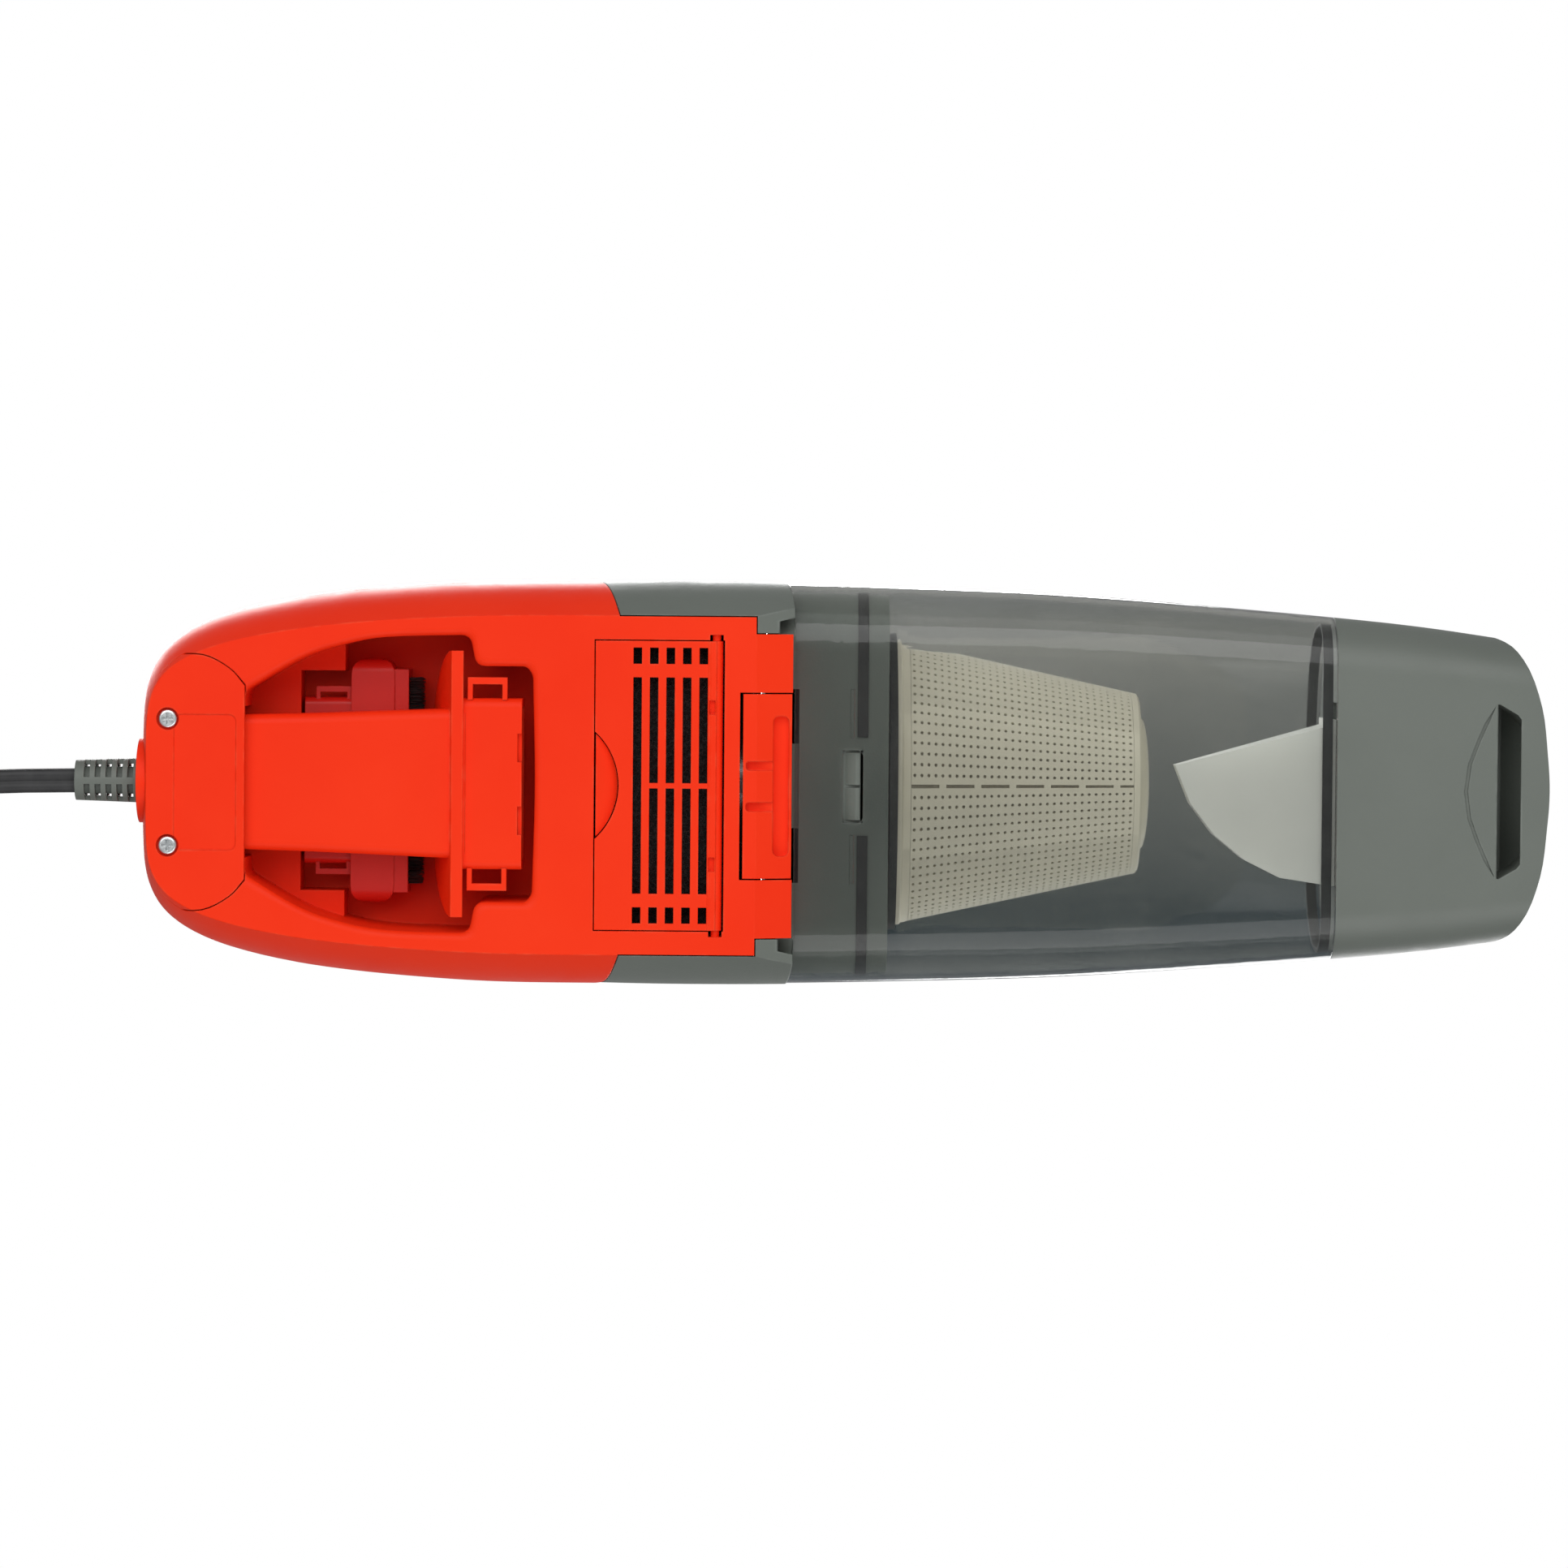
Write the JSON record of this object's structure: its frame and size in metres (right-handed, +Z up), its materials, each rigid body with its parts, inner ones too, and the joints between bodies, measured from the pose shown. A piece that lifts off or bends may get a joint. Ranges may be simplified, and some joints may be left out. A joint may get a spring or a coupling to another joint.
{
  "type": "handheld vacuum",
  "caption": "Corded 12 V handheld vacuum with a pull-off see-through bowl, cone filter, exhaust door, stored crevice tool and brush, and a coiled lead with a car plug.",
  "frame": {"origin": "centre of the vacuum's plan outline, on the surface that its flat underside rests on", "axes": "+X towards the nozzle, +Z up through the handle"},
  "size_m": [0.5815, 0.1515, 0.139],
  "materials": {
    "orange_plastic": "satin moulded orange-red plastic",
    "red_plastic": "satin moulded deeper red plastic",
    "grey_plastic": "fine-textured grey plastic",
    "smoked_clear": "glossy smoked see-through plastic",
    "cream_plastic": "matt cream plastic",
    "off_white_plastic": "satin off-white plastic",
    "dark_plastic": "fine-textured black plastic",
    "black_rubber": "matt black rubber",
    "foam": "open-cell black foam",
    "bristle": "black nylon bristles",
    "filter_paper": "pleated white filter cloth",
    "steel": "bright steel",
    "zinc": "zinc-plated steel",
    "brass": "brass",
    "cord_black": "flexible black lead"
  },
  "bodies": {
    "root": {"underside_housing": "orange_plastic", "rear_cap": "orange_plastic", "cap_screws": "zinc", "housing_screws": "zinc", "upper_shell_left": "orange_plastic", "upper_shell_right": "orange_plastic", "motor_housing": "grey_plastic", "fan_housing": "grey_plastic", "collar_seal": "black_rubber", "motor_can": "steel", "motor_end_cap": "dark_plastic", "motor_bearings": "brass", "motor_terminals": "brass", "motor_mount": "dark_plastic", "switch_body": "dark_plastic", "internal_wires": "cord_black", "cord_clamp": "dark_plastic", "exhaust_foam": "foam", "finger_scoop": "orange_plastic", "release_spring": "steel", "strain_relief": "grey_plastic", "cord": "cord_black", "cord_coil": "cord_black", "cord_end": "cord_black", "car_plug_body": "dark_plastic", "car_plug_barrel": "dark_plastic", "car_plug_contacts": "steel", "car_plug_fuse": "zinc"},
    "fan": {"motor_shaft": "steel", "fan_impeller": "dark_plastic"},
    "switch": {"power_switch": "dark_plastic"},
    "door": {"exhaust_door": "orange_plastic", "door_pins": "orange_plastic"},
    "release": {"release_button": "orange_plastic", "release_catch": "grey_plastic"},
    "bowl": {"dust_bowl": "smoked_clear", "nozzle": "grey_plastic", "inlet_duct": "off_white_plastic", "bowl_seal": "black_rubber"},
    "flap": {"inlet_flap": "off_white_plastic"},
    "filter": {"filter_cage": "cream_plastic", "fine_filter": "filter_paper", "filter_seal": "black_rubber"},
    "crevice": {"crevice_tool": "orange_plastic"},
    "brush": {"brush_tool": "red_plastic", "brush_bristles": "bristle"},
    "plug_tip": {"car_plug_tip": "steel"}
  },
  "joints": [
    {"name": "fan_spin", "type": "hinge", "parent": "root", "child": "fan", "pos_m": [0, 0, 0.051], "axis": [1, 0, 0], "continuous": true},
    {"name": "switch_slide", "type": "slide", "parent": "root", "child": "switch", "axis": [1, 0, 0], "range_m": [0, 0.007]},
    {"name": "door_hinge", "type": "hinge", "parent": "root", "child": "door", "pos_m": [-0.036, 0, 0.0026], "axis": [0, -1, 0], "range_deg": [0, 80]},
    {"name": "release_press", "type": "hinge", "parent": "root", "child": "release", "pos_m": [-0.0278, 0, 0.0075], "axis": [0, -1, 0], "range_deg": [0, 7], "stiffness_Nm_per_rad": 0.6, "springref_deg": -5.73},
    {"name": "bowl_pull", "type": "slide", "parent": "root", "child": "bowl", "axis": [1, 0, 0], "range_m": [0, 0.12]},
    {"name": "filter_pull", "type": "slide", "parent": "root", "child": "filter", "axis": [1, 0, 0], "range_m": [0, 0.06]},
    {"name": "flap_hinge", "type": "hinge", "parent": "bowl", "child": "flap", "pos_m": [0.1355, 0, 0.0352], "axis": [0, 1, 0], "range_deg": [0, 35]},
    {"name": "crevice_lift", "type": "hinge", "parent": "root", "child": "crevice", "pos_m": [-0.1692, 0, 0.0032], "axis": [0, 1, 0], "range_deg": [0, 30]},
    {"name": "brush_lift", "type": "hinge", "parent": "root", "child": "brush", "pos_m": [-0.1542, 0, 0.025], "axis": [0, 1, 0], "range_deg": [0, 15]},
    {"name": "plug_tip_press", "type": "slide", "parent": "root", "child": "plug_tip", "axis": [-1, 0, 0], "range_m": [0, 0.003], "stiffness_N_per_m": 400, "springref_m": -0.002}
  ],
  "couplings": [
    {"joint": "filter_pull", "follows": "bowl_pull", "ratio": 0.5},
    {"joint": "brush_lift", "follows": "crevice_lift", "ratio": 0.5}
  ]
}
